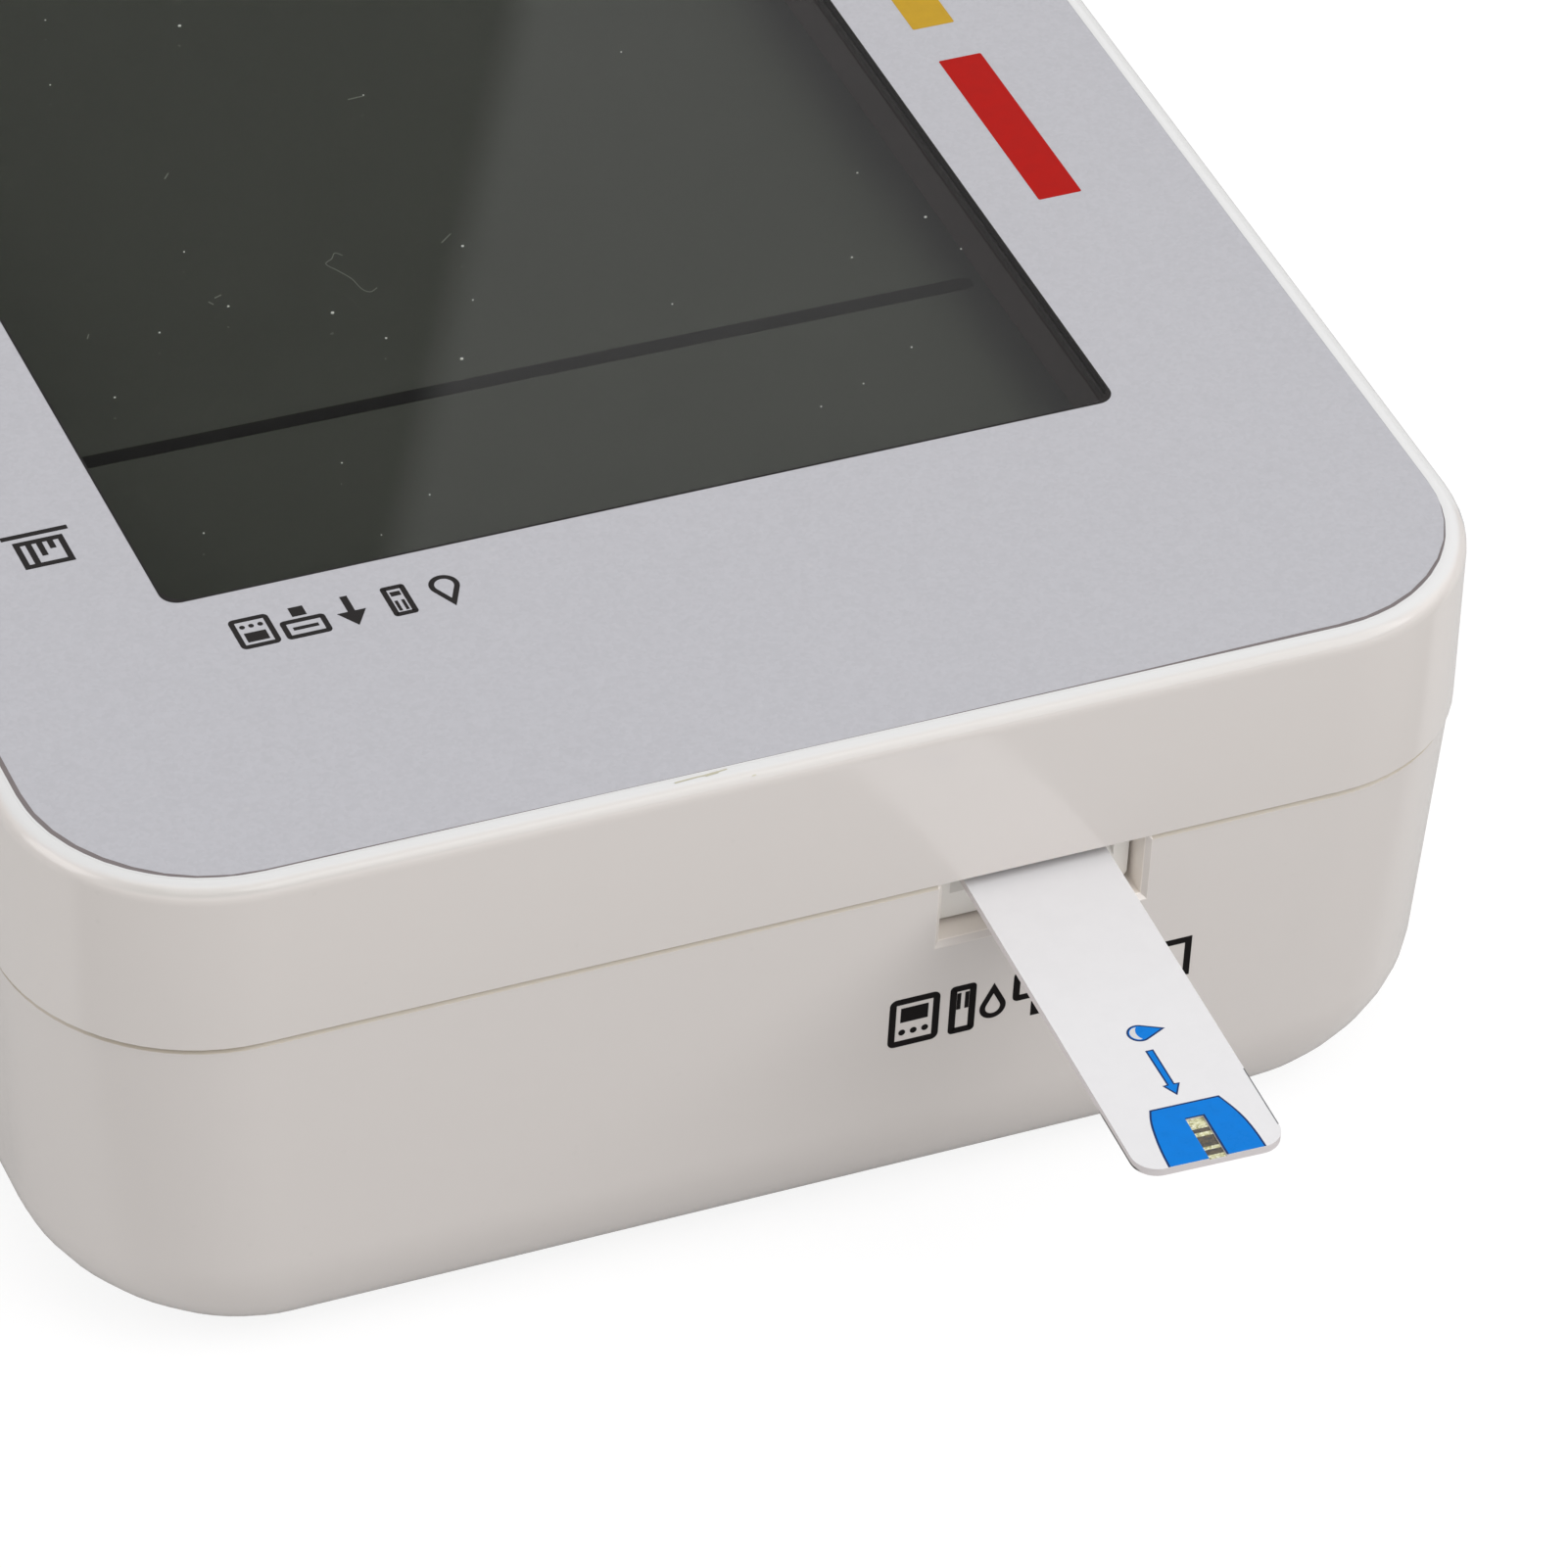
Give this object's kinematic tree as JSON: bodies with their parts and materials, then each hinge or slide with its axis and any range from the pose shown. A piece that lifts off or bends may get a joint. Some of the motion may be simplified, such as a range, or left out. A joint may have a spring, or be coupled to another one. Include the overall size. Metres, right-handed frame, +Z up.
{
  "type": "blood glucose meter",
  "caption": "Handheld blood glucose meter with a recessed display, press keys, a strip port holding a test strip, and a battery bay under a sliding door.",
  "frame": {"origin": "middle of the flat underside, on the surface that the meter rests on", "axes": "+X to the user's right, +Y from the keys towards the strip port, +Z up out of the display"},
  "size_m": [0.0722, 0.1433, 0.03],
  "materials": {
    "upper_housing": "satin moulded",
    "lower_housing": "satin moulded",
    "panel_paint": "silver paint",
    "window_sheet": "clear acrylic",
    "gasket_foam": "closed-cell foam",
    "frame_plastic": "moulded",
    "front_film": "polarising film",
    "cell_glass": "polished",
    "back_film": "reflecting film",
    "zebra_rubber": "striped silicone",
    "board_laminate": "solder mask",
    "chip_resin": "moulded resin",
    "component_metal": "drawn cans",
    "black_plastic": "moulded",
    "connector_plastic": "moulded",
    "gold_contacts": "gold plated",
    "strip_film": "polyester film",
    "key_plastic": "satin moulded",
    "cell_jacket": "printed jacket",
    "plated_steel": "nickel plated",
    "screw_steel": "zinc plated"
  },
  "bodies": {
    "case": {"top_shell": "upper_housing", "bottom_shell": "lower_housing", "face_panel": "panel_paint", "display_window": "window_sheet", "window_gasket": "gasket_foam", "lcd_frame": "frame_plastic", "lcd_front_film": "front_film", "lcd_front_glass": "cell_glass", "lcd_back_glass": "cell_glass", "lcd_back_film": "back_film", "zebra_strip": "zebra_rubber", "main_board": "board_laminate", "microcontroller": "chip_resin", "board_parts": "component_metal", "buzzer": "black_plastic", "tact_switches": "black_plastic", "strip_connector": "connector_plastic", "strip_contacts": "gold_contacts", "battery_cells": "cell_jacket", "battery_springs": "plated_steel", "battery_plates": "plated_steel", "housing_screws": "screw_steel"},
    "strip": {"strip_base": "strip_film", "strip_cover": "strip_film", "strip_electrodes": "gold_contacts"},
    "main_button": {"main_key": "key_plastic", "main_plunger": "black_plastic"},
    "left_button": {"left_key": "key_plastic", "left_plunger": "black_plastic"},
    "right_button": {"right_key": "key_plastic", "right_plunger": "black_plastic"},
    "door": {"battery_door": "lower_housing"}
  },
  "joints": [
    {"name": "strip_pull", "type": "slide", "parent": "case", "child": "strip", "axis": [0.0305, 0.9995, 0], "range_m": [0, 0.014]},
    {"name": "main_press", "type": "slide", "parent": "case", "child": "main_button", "axis": [0, 0, -1], "range_m": [0, 0.0005], "stiffness_N_per_m": 400},
    {"name": "left_press", "type": "slide", "parent": "case", "child": "left_button", "axis": [0, 0, -1], "range_m": [0, 0.0005], "stiffness_N_per_m": 400},
    {"name": "right_press", "type": "slide", "parent": "case", "child": "right_button", "axis": [0, 0, -1], "range_m": [0, 0.0005], "stiffness_N_per_m": 400},
    {"name": "door_slide", "type": "slide", "parent": "case", "child": "door", "axis": [0, -1, 0], "range_m": [0, 0.006]}
  ]
}
